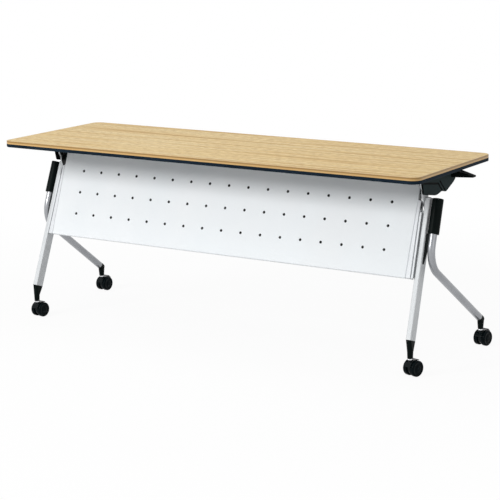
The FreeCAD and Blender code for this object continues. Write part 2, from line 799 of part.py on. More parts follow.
def make_covers():
    above = underside
    tall = cover_outline(above)
    near = hinge_x + cover_slot_half
    far = hinge_x + cover_half_width
    below = box(0, 2 * far, -far, far, 0, flange_low)
    block = prism_x(tall, near, far)
    rim = [e for e in block.Edges if abs(e.BoundBox.XMin - far) < 1e-6 and e.BoundBox.ZMin < flange_low]
    block = block.makeFillet(cover_edge_round, rim).common(below)
    face = Part.Face(rounded_wire(tall, lambda y, z: V(near, y, z)))
    inset = face.makeOffset2D(-cover_wall)
    pocket = inset.extrude(V(cover_half_width - cover_slot_half - cover_wall, 0, 0))
    lip_near = hinge_x + cover_split
    lip_face = face.cut(inset)
    lip = lip_face.extrude(V(lip_near - near, 0, 0)).common(below)
    lip = lip.common(box(lip_near - 1, far, pivot_y + cover_close, far, 0, flange_low))
    cover = fuse([block.cut(pocket), lip])
    shaft_hole = rod_x(lip_near, far, shaft_y, shaft_z, shaft_radius + shaft_hole_clearance)
    pin_end = hinge_x + cheek_inner + cheek_thickness + hinge_pin_head_height
    pin_room = rod_x(near, pin_end + pin_head_room, pivot_y, pivot_z, hinge_pin_head + pin_head_room)
    cover = cover.cut([shaft_hole, pin_room])
    inner_cover = cover.mirror(V(hinge_x, 0, 0), V(1, 0, 0))
    grooves = []
    for step in (0, 1):
        y, z, radius = from_pivot(chevron_start, groove_round)
        y += step * groove_pitch
        end_y = y + chevron_run[0]
        end_z = z + chevron_run[1]
        grooves.append(prism_x([(y, z, radius), (y + groove_width, z, radius),
                                (end_y + groove_width, end_z, radius), (end_y, end_z, radius)],
                               far - groove_depth, far + groove_depth))
    start = from_pivot(crease_start, groove_round)
    end = from_pivot(crease_end, groove_round)
    grooves.append(prism_x([start, end, (end[0], end[1] - groove_width, groove_round),
                            (start[0], start[1] - groove_width, groove_round)],
                           far - groove_depth, far + groove_depth))
    keep_pair("outer_cover", cover.cut(grooves))
    keep_pair("inner_cover", inner_cover)


def caster_stem(x, y):
    low = boss_top - stem_in_boss
    rod = Part.makeCylinder(stem_radius, stem_top - low, V(x, y, low))
    collar = Part.makeCylinder(collar_radius, collar_height, V(x, y, foot_bottom_z - collar_height))
    rims = [e for e in collar.Edges if e.Curve.TypeId == "Part::GeomCircle"]
    collar = collar.makeFillet(collar_round, rims)
    return fuse([rod, collar])


def caster_spoke(angle, radius):
    """Place on a circle round the axle, as (y, z) on the caster's middle plane."""
    turn = math.radians(angle)
    return caster_trail + radius * math.cos(turn), wheel_radius + radius * math.sin(turn)


def caster_band(half_width, inner, outer, start, end):
    """Curved band round the axle from one angle to another."""
    ring = rod_x(-half_width, half_width, caster_trail, wheel_radius, outer)
    ring = ring.cut(rod_x(-half_width, half_width, caster_trail, wheel_radius, inner))
    corners = [(caster_trail, wheel_radius, 0)]
    steps = 4
    for step in range(steps + 1):
        y, z = caster_spoke(start + (end - start) * step / steps, 2 * outer)
        corners.append((y, z, 0))
    return ring.common(prism_x(corners, -half_width, half_width))


def caster_hood(braked):
    """Swivel body at the origin, stem on the Z axis, wheels trailing towards +Y."""
    inner = wheel_radius + hood_gap
    outer = inner + hood_thickness
    core = wheel_radius - hood_inside_rim
    boss_low = wheel_radius - hood_inside_rim
    boss = Part.makeCylinder(boss_radius, boss_top - boss_low, V(0, 0, boss_low))
    web = rod_x(-hood_web, hood_web, caster_trail, wheel_radius, core)
    crown_y, crown_z = caster_spoke(hood_rear_angle, inner + hood_thickness / 2)
    neck = prism_x([(-neck_nose, boss_low, neck_round), (caster_trail, boss_low, 0), (crown_y, crown_z, 0),
                    (caster_trail, inner + wheel_radius, 0), (0, boss_top, 0),
                    (-neck_nose, boss_top - neck_round, neck_round)], -hood_web, hood_web)
    fender = caster_band(hood_half_width, inner, outer, hood_rear_angle, hood_front_angle)
    below_boss = Part.makeBox(4 * outer, 4 * outer, boss_top, V(-2 * outer, -2 * outer, 0))
    pieces = [boss, web, neck.common(below_boss), fender.common(below_boss)]
    hinge_y, hinge_z = pedal_axis()
    if braked:
        for side in (-1, 1):
            x0 = side * (pedal_half_width + pedal_clearance)
            x1 = side * hood_half_width
            pieces.append(rod_x(min(x0, x1), max(x0, x1), hinge_y, hinge_z, pedal_hub_radius))
    hood = fuse(pieces)
    if braked:
        room = pedal_half_width + pedal_clearance
        hood = hood.cut(rod_x(-room, room, hinge_y, hinge_z, pedal_hub_radius + 2 * pedal_clearance))
        hood = fuse([hood, rod_x(-hood_half_width, hood_half_width, hinge_y, hinge_z, pedal_pin_radius)])
    bore_low = boss_top - stem_in_boss - stem_end_gap
    stem_bore = Part.makeCylinder(stem_radius + running_clearance, boss_top - bore_low, V(0, 0, bore_low))
    axle_bore = rod_x(-hood_web, hood_web, caster_trail, wheel_radius, axle_radius)
    return hood.cut([stem_bore, axle_bore])


def pedal_axis():
    return caster_spoke(hood_rear_angle, wheel_radius + hood_gap + hood_thickness / 2 + pedal_axis_lift)


def brake_pedal():
    """Curved pedal over the back of the wheels, lifted by its travel from where it would touch."""
    y, z = pedal_axis()
    hub = rod_x(-pedal_half_width, pedal_half_width, y, z, pedal_hub_radius)
    inner = wheel_radius + hood_gap + pedal_stand_off
    blade = caster_band(pedal_half_width, inner, inner + pedal_thickness,
                        hood_rear_angle - pedal_sweep, hood_rear_angle)
    blade.rotate(V(0, y, z), V(1, 0, 0), pedal_travel)
    pedal = fuse([hub, blade])
    bore = rod_x(-pedal_half_width, pedal_half_width, y, z, pedal_pin_radius + running_clearance)
    return pedal.cut(bore)


def caster_wheel():
    """Outboard wheel of the pair, turning about the axle; the bore is blind."""
    inner = wheel_inner
    face = wheel_inner + wheel_width
    hub = face + wheel_hub_height
    bore = axle_radius + running_clearance
    floor = axle_reach + wheel_floor_gap
    shoulder = wheel_radius - wheel_tread_round
    quarter = 1 - math.sqrt(0.5)

    def at(radius, along):
        return V(along, caster_trail, wheel_radius + radius)

    def line(start, end):
        return Part.LineSegment(start, end).toShape()

    def arc(start, middle, end):
        return Part.Arc(start, middle, end).toShape()

    dish = at((shoulder + wheel_hub_radius) / 2, face - wheel_face_dish)
    crown = at(wheel_radius - wheel_tread_round * quarter, face - wheel_tread_round * quarter)
    lip = at(wheel_radius - wheel_inner_round * quarter, inner + wheel_inner_round * quarter)
    profile = Part.Wire([
        line(at(bore, inner), at(bore, floor)), line(at(bore, floor), at(0, floor)),
        line(at(0, floor), at(0, hub)), line(at(0, hub), at(wheel_hub_radius - wheel_hub_height, hub)),
        line(at(wheel_hub_radius - wheel_hub_height, hub), at(wheel_hub_radius, face)),
        arc(at(wheel_hub_radius, face), dish, at(shoulder, face)),
        arc(at(shoulder, face), crown, at(wheel_radius, face - wheel_tread_round)),
        line(at(wheel_radius, face - wheel_tread_round), at(wheel_radius, inner + wheel_inner_round)),
        arc(at(wheel_radius, inner + wheel_inner_round), lip, at(wheel_radius - wheel_inner_round, inner)),
        line(at(wheel_radius - wheel_inner_round, inner), at(bore, inner))])
    return Part.Face(profile).revolve(V(0, caster_trail, wheel_radius), V(1, 0, 0), 360)


def make_casters():
    wheel = caster_wheel()
    opposite = wheel.mirror(V(0, 0, 0), V(1, 0, 0))
    axle = rod_x(-axle_reach, axle_reach, caster_trail, wheel_radius, axle_radius)
    stems = []
    for side, sign in (("right", 1), ("left", -1)):
        for end, x, y, braked in (("front", front_caster_x, front_caster_y, False),
                                  ("rear", rear_caster_x, rear_caster_y, True)):
            place = V(sign * x, y, 0)
            corner = end + "_" + side
            stems.append(caster_stem(place.x, place.y))
            parts = {"_caster_hood": caster_hood(braked), "_caster_axle": axle,
                     "_wheel_a": wheel, "_wheel_b": opposite}
            if braked:
                parts["_brake_pedal"] = brake_pedal()
            for suffix, shape in parts.items():
                placed = shape.copy()
                placed.rotate(V(0, 0, 0), V(0, 0, 1), caster_yaw[corner])
                placed.translate(place)
                keep(corner + suffix, placed)
    keep("caster_stems", Part.makeCompound(stems))


make_board()
make_legs()
make_rear_legs()
make_panel()
make_rails()
make_beam()
make_hinge_plate()
make_top_bracket()
make_lock()
make_lever()
make_covers()
make_casters()

footprint = FreeCAD.BoundBox()
for shape in nodes.values():
    footprint.add(shape.optimalBoundingBox(False))
centre_shift = V(0, -footprint.Center.y, 0)

os.makedirs("parts", exist_ok=True)
for name, shape in nodes.items():
    shape.translate(centre_shift)
    shape.exportStep("parts/" + name + ".step")
print("nodes", len(nodes), "moved back by", round(footprint.Center.y, 4))
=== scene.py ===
import json
import math

import bmesh
import bpy
from mathutils import Matrix, Vector


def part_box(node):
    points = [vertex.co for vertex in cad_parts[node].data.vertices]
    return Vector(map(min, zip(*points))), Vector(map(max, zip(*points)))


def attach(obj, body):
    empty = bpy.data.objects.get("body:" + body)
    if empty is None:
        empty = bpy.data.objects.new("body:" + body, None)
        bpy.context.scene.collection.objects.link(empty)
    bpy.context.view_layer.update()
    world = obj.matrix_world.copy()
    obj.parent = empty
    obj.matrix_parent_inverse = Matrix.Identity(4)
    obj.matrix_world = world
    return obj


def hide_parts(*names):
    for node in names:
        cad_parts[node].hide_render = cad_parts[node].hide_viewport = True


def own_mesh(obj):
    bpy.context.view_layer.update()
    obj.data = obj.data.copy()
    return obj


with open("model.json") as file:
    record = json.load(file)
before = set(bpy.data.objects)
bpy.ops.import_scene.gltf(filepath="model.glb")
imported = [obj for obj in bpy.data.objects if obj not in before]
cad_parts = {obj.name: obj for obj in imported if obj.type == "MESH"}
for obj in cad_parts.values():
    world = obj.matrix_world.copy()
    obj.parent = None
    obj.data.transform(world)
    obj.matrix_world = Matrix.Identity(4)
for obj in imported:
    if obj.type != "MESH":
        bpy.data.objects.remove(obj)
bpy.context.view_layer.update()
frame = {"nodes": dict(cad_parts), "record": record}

nodes = frame["nodes"]
slotOf = {part["node"]: part["material_slot"] for part in frame["record"]["subparts"]}
mm = 0.001
perMetre = 1000
print("frame loaded:", len(nodes), "nodes")


# colours are written as sRGB and turned to linear here
def linear(hexColour):
    channels = [int(hexColour[i:i + 2], 16) / 255 for i in (0, 2, 4)]
    return tuple(c / 12.92 if c <= 0.04045 else ((c + 0.055) / 1.055) ** 2.4
                 for c in channels) + (1.0,)


def addNode(tree, kind, settings=None, links=None):
    node = tree.nodes.new(kind)
    for key, value in (settings or {}).items():
        if key == "stops":
            elements = node.color_ramp.elements
            while len(elements) < len(value):
                elements.new(1.0)
            for element, (spot, colour) in zip(elements, value):
                element.position, element.color = spot, linear(colour)
        elif isinstance(key, str) and hasattr(node, key):
            setattr(node, key, value)
        else:
            node.inputs[key].default_value = value
    for key, source in (links or {}).items():
        tree.links.new(source, node.inputs[key])
    return node


def startMaterial(name):
    material = bpy.data.materials.new(name)
    material.use_nodes = True
    tree = material.node_tree
    place = addNode(tree, "ShaderNodeTexCoord").outputs["Object"]
    return material, tree, tree.nodes["Principled BSDF"], place


# links the last nodes of a finish to its shader
def finishMaterial(tree, shader, colour, satin, bump, ior):
    shader.inputs["IOR"].default_value = ior
    tree.links.new(colour, shader.inputs["Base Color"])
    tree.links.new(satin.outputs[0], shader.inputs["Roughness"])
    tree.links.new(bump.outputs[0], shader.inputs["Normal"])


# printed oak melamine: warm bands, straight grain lines and short dark pores under a satin film
# lines and dashes are drawn about twice as wide as real ones so that they show in the render
oakLook = {"streak": "C09650", "base": "EBCF91", "pale": "F2DDA9", "vein": "AC8448",
           "bandStops": (0.34, 0.44, 0.6), "veinSpan": (0.6, 0.34),
           "lineShare": 0.38, "dashShare": 0.66,
           "bandMm": (900.0, 26.0, 40.0), "lineMm": (420.0, 5.0, 20.0),
           "dashMm": (30.0, 6.0, 12.0), "poreMm": (14.0, 0.9, 4.0),
           "detail": 3.0, "grainRough": 0.55, "poreDepthMm": 0.05, "poreStrength": 0.15,
           "satin": (0.46, 0.58), "ior": 1.35}


def makeOakLaminate():
    material, tree, shader, place = startMaterial("oakMelamine")
    grain = {}
    for name in ("band", "line", "dash", "pore"):
        scale = tuple(perMetre / size for size in oakLook[name + "Mm"])
        stretched = addNode(tree, "ShaderNodeMapping", {"Scale": scale}, {"Vector": place})
        grain[name] = addNode(tree, "ShaderNodeTexNoise",
                              {"Scale": 1.0, "Detail": oakLook["detail"],
                               "Roughness": oakLook["grainRough"]},
                              {"Vector": stretched.outputs[0]}).outputs[0]
    tones = [oakLook[key] for key in ("streak", "base", "pale")]
    colour = addNode(tree, "ShaderNodeValToRGB",
                     {"stops": tuple(zip(oakLook["bandStops"], tones))},
                     {"Fac": grain["band"]}).outputs[0]
    for name in ("line", "dash"):
        share = addNode(tree, "ShaderNodeMapRange",
                        {"From Min": oakLook["veinSpan"][0], "From Max": oakLook["veinSpan"][1],
                         "To Max": oakLook[name + "Share"]}, {"Value": grain[name]})
        colour = addNode(tree, "ShaderNodeMix",
                         {"data_type": "RGBA", "B": linear(oakLook["vein"])},
                         {"Factor": share.outputs[0], "A": colour}).outputs["Result"]
    satin = addNode(tree, "ShaderNodeMapRange",
                    {"To Min": oakLook["satin"][0], "To Max": oakLook["satin"][1]},
                    {"Value": grain["pore"]})
    bump = addNode(tree, "ShaderNodeBump",
                   {"Strength": oakLook["poreStrength"], "Distance": oakLook["poreDepthMm"] * mm},
                   {"Height": grain["pore"]})
    finishMaterial(tree, shader, colour, satin, bump, oakLook["ior"])
    return material


# oak-print edge band: painted shade makes the rolled upper rim darker than the flat below it
edgeLook = {"rim": "9C783F", "flat": "C49C5E", "pale": "D0AA6E", "rimShadeMm": (7.0, 5.0),
            "streakMm": (90.0, 90.0, 0.8), "streakStops": (0.35, 0.65), "detail": 3.0,
            "streakDepthMm": 0.05, "streakStrength": 0.1, "satin": (0.25, 0.35), "ior": 1.5}


def makeOakEdge():
    material, tree, shader, place = startMaterial("oakEdgeBand")
    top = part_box("wood_edge_band")[1][2]
    height = addNode(tree, "ShaderNodeSeparateXYZ", None, {"Vector": place})
    # painted shade: the top few millimetres of the band take the darker rim colour
    rimShade = addNode(tree, "ShaderNodeMapRange",
                   {"From Min": top - edgeLook["rimShadeMm"][0] * mm,
                    "From Max": top - edgeLook["rimShadeMm"][1] * mm}, {"Value": height.outputs["Z"]})
    scale = tuple(perMetre / size for size in edgeLook["streakMm"])
    stretched = addNode(tree, "ShaderNodeMapping", {"Scale": scale}, {"Vector": place})
    streak = addNode(tree, "ShaderNodeTexNoise", {"Scale": 1.0, "Detail": edgeLook["detail"]},
                     {"Vector": stretched.outputs[0]})
    tones = (edgeLook["flat"], edgeLook["pale"])
    flat = addNode(tree, "ShaderNodeValToRGB",
                   {"stops": tuple(zip(edgeLook["streakStops"], tones))},
                   {"Fac": streak.outputs[0]})
    colour = addNode(tree, "ShaderNodeMix", {"data_type": "RGBA", "B": linear(edgeLook["rim"])},
                     {"Factor": rimShade.outputs[0], "A": flat.outputs[0]}).outputs["Result"]
    satin = addNode(tree, "ShaderNodeMapRange",
                    {"To Min": edgeLook["satin"][0], "To Max": edgeLook["satin"][1]},
                    {"Value": streak.outputs[0]})
    bump = addNode(tree, "ShaderNodeBump",
                   {"Strength": edgeLook["streakStrength"],
                    "Distance": edgeLook["streakDepthMm"] * mm}, {"Height": streak.outputs[0]})
    finishMaterial(tree, shader, colour, satin, bump, edgeLook["ior"])
    return material


# moulded, sprayed or plated surfaces: faint clouds in colour and polish, a grain as bump,
# edges eased by edgeMm and painted shade darkening the creases over creaseShadeMm
surfaceBase = {"cloudMm": 90.0, "cloudDetail": 2.0, "cloudSpan": (0.3, 0.7), "creaseShadeMm": 3.0,
               "grainDetail": 3.0, "grainStrength": 0.2, "samples": 4, "metallic": 0.0, "ior": 1.5}
surfaceLooks = {
    # extruded strip: blue-black, half matt, so its rolled side shows a slate line of light
    "black_edge": {"name": "extrudedPvcStrip", "low": "101B25", "high": "1B2833",
                   "satin": (0.45, 0.55), "ior": 1.1,
                   "grainMm": 1.5, "depthMm": 0.05, "edgeMm": 1.2},
    # raw chipboard, only seen where it is cut: pale chips pressed together
    "particle_core": {"name": "pressedParticleBoard", "low": "8E7248", "high": "C2A678",
                      "satin": (0.75, 0.9), "ior": 1.4,
                      "cloudMm": 3.5, "grainMm": 2.0, "depthMm": 0.25, "edgeMm": 0.3},
    # phenolic backing sheet: dead flat charcoal
    "black_backer": {"name": "pressedBackingSheet", "low": "202326", "high": "26292C",
                     "satin": (0.58, 0.72), "ior": 1.3,
                     "cloudMm": 60.0, "grainMm": 2.0, "depthMm": 0.05, "edgeMm": 0.4},
    # sprayed silver powder coat: soft sheen with an orange-peel skin
    "silver_paint": {"name": "sprayedSilverCoat", "low": "C4C7C9", "high": "CED1D3",
                     "satin": (0.42, 0.52), "metallic": 0.12,
                     "grainMm": 1.6, "depthMm": 0.03, "edgeMm": 1.5},
    # baked white powder coat: cool and even, a little drier where it is thin
    "white_paint": {"name": "bakedWhiteCoat", "low": "E4E9EC", "high": "EFF2F4",
                    "satin": (0.42, 0.55),
                    "cloudMm": 260.0, "grainMm": 1.6, "depthMm": 0.03, "edgeMm": 0.8},
    # dipped black enamel on pressed steel: smooth with soft lights at the bends
    "black_steel": {"name": "dippedBlackEnamel", "low": "0B0C0D", "high": "141618",
                    "satin": (0.34, 0.46), "ior": 1.3,
                    "grainMm": 2.5, "depthMm": 0.03, "edgeMm": 0.6},
    # passivated zinc: grey with a faint spangle
    "zinc_steel": {"name": "platedZinc", "low": "A8AAAE", "high": "BCBEC2",
                   "satin": (0.3, 0.4), "metallic": 1.0,
                   "cloudMm": 8.0, "grainMm": 2.0, "depthMm": 0.004, "edgeMm": 0.4},
    # sintered oil-filled bronze: warm, dull and finely pitted
    "bush_bronze": {"name": "sinteredBronze", "low": "94703C", "high": "B08A52",
                    "satin": (0.4, 0.55), "metallic": 1.0,
                    "cloudMm": 4.0, "grainMm": 0.8, "depthMm": 0.05, "edgeMm": 0.3},
    # polished chrome on the caster stems: bright, with hardly a mark
    "stem_chrome": {"name": "platedChrome", "low": "D8D9DC", "high": "E6E7E9",
                    "satin": (0.08, 0.16), "metallic": 1.0,
                    "cloudMm": 12.0, "grainMm": 4.0, "depthMm": 0.01, "edgeMm": 0.3},
    # moulded sleeves, sockets, caps and levers: deep black with a green cast and a soft sheen
    "black_plastic": {"name": "mouldedPolypropylene", "low": "040A09", "high": "0A1211",
                      "satin": (0.36, 0.5), "ior": 1.13,
                      "cloudMm": 40.0, "grainMm": 0.9, "depthMm": 0.06, "edgeMm": 1.0},
    # hinge housings with a spark-eroded skin: dry charcoal, so creases stay darker than the faces,
    # with painted shade in them too
    "housing": {"name": "sparkErodedNylon", "low": "242E2F", "high": "2E393A",
                "satin": (0.5, 0.62), "ior": 1.1,
                "cloudMm": 40.0, "grainMm": 0.9, "depthMm": 0.1, "edgeMm": 1.0},
    # extruded rails: bright anodised aluminium that takes up the white around it
    "rail": {"name": "anodisedAluminium", "low": "CDD0D3", "high": "D8DBDE",
             "satin": (0.45, 0.55), "metallic": 0.15,
             "cloudMm": 60.0, "grainMm": 0.8, "depthMm": 0.01, "edgeMm": 0.6},
    # bent rear tubes: satin nickel plate, with a line of light along the round
    "tube": {"name": "platedSatinNickel", "low": "94969A", "high": "A2A4A8",
             "satin": (0.22, 0.3), "metallic": 0.6,
             "cloudMm": 120.0, "grainMm": 3.0, "depthMm": 0.003, "edgeMm": 0.6},
    # moulded nylon of the caster bodies: black with a soft shine on the hoods and painted shade in
    # its creases
    "caster_nylon": {"name": "mouldedNylon", "low": "060C0E", "high": "0E1618",
                     "satin": (0.06, 0.14), "ior": 1.22, "creaseShadeMm": 8.0,
                     "cloudMm": 25.0, "grainMm": 1.2, "depthMm": 0.03, "edgeMm": 0.8},
    # cast tyres: deep black, with painted shade in the creases round the hubs
    "wheel_rubber": {"name": "castPolyurethane", "low": "070D0F", "high": "0F171A",
                     "satin": (0.12, 0.22), "ior": 1.1, "creaseShadeMm": 8.0,
                     "cloudMm": 18.0, "grainMm": 1.5, "depthMm": 0.03, "edgeMm": 0.8},
}


def makeSurface(own):
    look = {**surfaceBase, **own}
    material, tree, shader, place = startMaterial(look["name"])
    thin, thick = look["cloudSpan"]
    cloud = addNode(tree, "ShaderNodeTexNoise",
                    {"Scale": perMetre / look["cloudMm"], "Detail": look["cloudDetail"]},
                    {"Vector": place})
    colour = addNode(tree, "ShaderNodeValToRGB",
                     {"stops": ((thin, look["low"]), (thick, look["high"]))},
                     {"Fac": cloud.outputs[0]})
    satin = addNode(tree, "ShaderNodeMapRange",
                    {"From Min": thin, "From Max": thick, "To Min": look["satin"][0],
                     "To Max": look["satin"][1]}, {"Value": cloud.outputs[0]})
    # painted shade: ambient occlusion darkens the colour in creases and recesses
    crease = addNode(tree, "ShaderNodeAmbientOcclusion",
                     {"only_local": True, "samples": look["samples"],
                      "Distance": look["creaseShadeMm"] * mm}, {"Color": colour.outputs[0]})
    grain = addNode(tree, "ShaderNodeTexNoise",
                    {"Scale": perMetre / look["grainMm"], "Detail": look["grainDetail"]},
                    {"Vector": place})
    eased = addNode(tree, "ShaderNodeBevel",
                    {"samples": look["samples"], "Radius": look["edgeMm"] * mm})
    bump = addNode(tree, "ShaderNodeBump",
                   {"Strength": look["grainStrength"], "Distance": look["depthMm"] * mm},
                   {"Height": grain.outputs[0], "Normal": eased.outputs[0]})
    shader.inputs["Metallic"].default_value = look["metallic"]
    finishMaterial(tree, shader, crease.outputs["Color"], satin, bump, look["ior"])
    return material


# a copy of a finish, painted over where the mask is one
def overpaint(coat, name, hexColour, addMask):
    material = coat.copy()
    material.name = name
    tree = material.node_tree
    shader = tree.nodes["Principled BSDF"]
    under = shader.inputs["Base Color"].links[0].from_socket
    colour = addNode(tree, "ShaderNodeMix", {"data_type": "RGBA", "B": linear(hexColour)},
                     {"Factor": addMask(tree), "A": under})
    tree.links.new(colour.outputs["Result"], shader.inputs["Base Color"])
    return material


# painted shade: dark behind the holes on the panel back, on the hinge plates' inner faces and in
# the housings' grooves
# a face counts as facing along an axis when its normal reaches past facing
paintedShadeLook = {"backShade": "17191B", "plateShade": "0C1010", "grooveShade": "030505", "sunkenMm": (0.8, 0.2),
              "facing": 0.5}


# faces that look along one axis of the object, way is 1 or -1
def maskFacing(tree, axis, way):
    place = addNode(tree, "ShaderNodeTexCoord").outputs["Normal"]
    normal = addNode(tree, "ShaderNodeSeparateXYZ", None, {"Vector": place}).outputs[axis]
    return addNode(tree, "ShaderNodeMath",
                   {"operation": "GREATER_THAN" if way > 0 else "LESS_THAN",
                    1: paintedShadeLook["facing"] * way}, {0: normal}).outputs[0]


# painted shade on the outer housings: darker in their grooves and round their rims, below the flat
# outer face
def maskSunken(tree):
    place = addNode(tree, "ShaderNodeTexCoord").outputs["Object"]
    across = addNode(tree, "ShaderNodeSeparateXYZ", None, {"Vector": place}).outputs["X"]
    across = addNode(tree, "ShaderNodeMath", {"operation": "ABSOLUTE"}, {0: across})
    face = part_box("right_outer_cover")[1][0]
    deep, shallow = paintedShadeLook["sunkenMm"]
    sunken = addNode(tree, "ShaderNodeMapRange",
                     {"From Min": face - deep * mm, "From Max": face - shallow * mm,
                      "To Min": 1.0, "To Max": 0.0}, {"Value": across.outputs[0]})
    return sunken.outputs[0]


# painted shade round each punched hole's mouth, a dark ring drawn nearly 2 mm wide so that it
# shows mouthShadeMm is its outer radius round a hole of 7.5 mm
punchLook = {"firstRowMm": (0.0, -80.684, 582.738), "tilt": -20.2, "pitchMm": 85.782,
             "columns": 17, "rows": 3, "mouthShadeMm": 5.5, "mouthShade": "0A0C0E"}
panelOrigin = Vector(punchLook["firstRowMm"]) * mm
panelTilt = math.radians(punchLook["tilt"])


def maskPunched(tree):
    place = addNode(tree, "ShaderNodeTexCoord").outputs["Object"]
    onPanel = addNode(tree, "ShaderNodeMapping",
                      {"vector_type": "TEXTURE", "Scale": (punchLook["pitchMm"] * mm,) * 3,
                       "Location": panelOrigin, "Rotation": (panelTilt, 0, 0)},
                      {"Vector": place}).outputs[0]
    reach = (punchLook["columns"] - 1) / 2
    steps = (("ADD", {1: (0.5, 0.5, 0.5)}), ("FLOOR", {}),
             ("MAXIMUM", {1: (-reach, 0, 1 - punchLook["rows"])}), ("MINIMUM", {1: (reach, 0, 0)}))
    nearest = onPanel
    for operation, value in steps:
        nearest = addNode(tree, "ShaderNodeVectorMath", {"operation": operation, **value},
                          {0: nearest}).outputs[0]
    apart = addNode(tree, "ShaderNodeVectorMath", {"operation": "SUBTRACT"},
                    {0: onPanel, 1: nearest}).outputs[0]
    apart = addNode(tree, "ShaderNodeVectorMath", {"operation": "MULTIPLY", 1: (1, 0, 1)},
                    {0: apart}).outputs[0]
    away = addNode(tree, "ShaderNodeVectorMath", {"operation": "LENGTH"},
                   {0: apart}).outputs["Value"]
    return addNode(tree, "ShaderNodeMath",
                   {"operation": "LESS_THAN", 1: punchLook["mouthShadeMm"] / punchLook["pitchMm"]},
                   {0: away}).outputs[0]


finishes = {"wood_laminate": makeOakLaminate(), "wood_edge": makeOakEdge()}
for slot, look in surfaceLooks.items():
    finishes[slot] = makeSurface(look)
closerFinish = {"outer_cover": "housing", "inner_cover": "housing", "panel_rail": "rail",
                "rear_leg": "tube"}
for name, node in nodes.items():
    piece = name.removeprefix("right_").removeprefix("left_")
    node.data.materials.clear()
    node.data.materials.append(finishes[closerFinish.get(piece, slotOf[name])])
white, silver = finishes["white_paint"], finishes["silver_paint"]
# painted shade round each hole's mouth on the panel's front
nodes["modesty_panel"].data.materials[0] = overpaint(white, "bakedWhitePunched",
                                                     punchLook["mouthShade"], maskPunched)
# painted shade on the panel back's inner face, so that the holes look dark
nodes["panel_back"].data.materials[0] = overpaint(white, "bakedWhiteBackShade",
                                                  paintedShadeLook["backShade"],
                                                  lambda tree: maskFacing(tree, "Y", -1))
# painted shade in the outer housings' grooves and round their rims
grooved = overpaint(finishes["housing"], "sparkErodedGrooveShade", paintedShadeLook["grooveShade"], maskSunken)
# painted shade on each hinge plate's inner face, which sits in shadow between the panel and the
# cover
for side, way in (("right", -1), ("left", 1)):
    plateShaded = overpaint(silver, side + "InnerShadeSilverCoat", paintedShadeLook["plateShade"],
                      lambda tree: maskFacing(tree, "X", way))
    nodes[side + "_hinge_plate"].data.materials[0] = plateShaded
print("finishes given:", len(finishes))


# a CAD mesh is loose triangles, so a copy is merged before it is shaped
def startCopy(node, mergeMm=0.01):
    shape = bmesh.new()
    shape.from_mesh(node.data)
    bmesh.ops.remove_doubles(shape, verts=shape.verts, dist=mergeMm * mm)
    return shape


def finishPiece(shape, name, finish, body, replaced=None):
    mesh = bpy.data.meshes.new(name)
    shape.to_mesh(mesh)
    shape.free()
    mesh.materials.append(finish)
    piece = bpy.data.objects.new(name, mesh)
    bpy.context.scene.collection.objects.link(piece)
    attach(piece, body)
    if replaced:
        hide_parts(replaced)
    return piece


# inner housing halves, cut off at the panel's plane so that the panel's corner shows
trimLook = {"behindPanelMm": 1.0}


def makeTrimmedCover(side):
    node = nodes[side + "_inner_cover"]
    back = Vector((0, math.cos(panelTilt), math.sin(panelTilt)))
    shell = startCopy(node)
    cut = bmesh.ops.bisect_plane(shell, geom=shell.verts[:] + shell.edges[:] + shell.faces[:],
                                 plane_co=panelOrigin + back * trimLook["behindPanelMm"] * mm,
                                 plane_no=back, clear_inner=True)
    rim = [item for item in cut["geom_cut"] if isinstance(item, bmesh.types.BMEdge)]
    bmesh.ops.triangle_fill(shell, use_beauty=True, edges=rim, normal=-back)
    finishPiece(shell, side + "TrimmedCover", finishes["housing"], "top",
                node.name)


# outer housing halves with the two chevron grooves and the crease as wide as the photo shows them
# each line is where it starts and how far it runs, back and up
grooveLook = {"linesMm": (((18.9, 645.0), (36.0, -34.0)), ((31.4, 653.0), (44.5, -42.0)),
                          ((-98.1, 662.0), (119.0, -18.0))),
              "widthMm": 7.0, "depthMm": 1.2, "flatMm": 0.01, "cutMm": 0.0001}


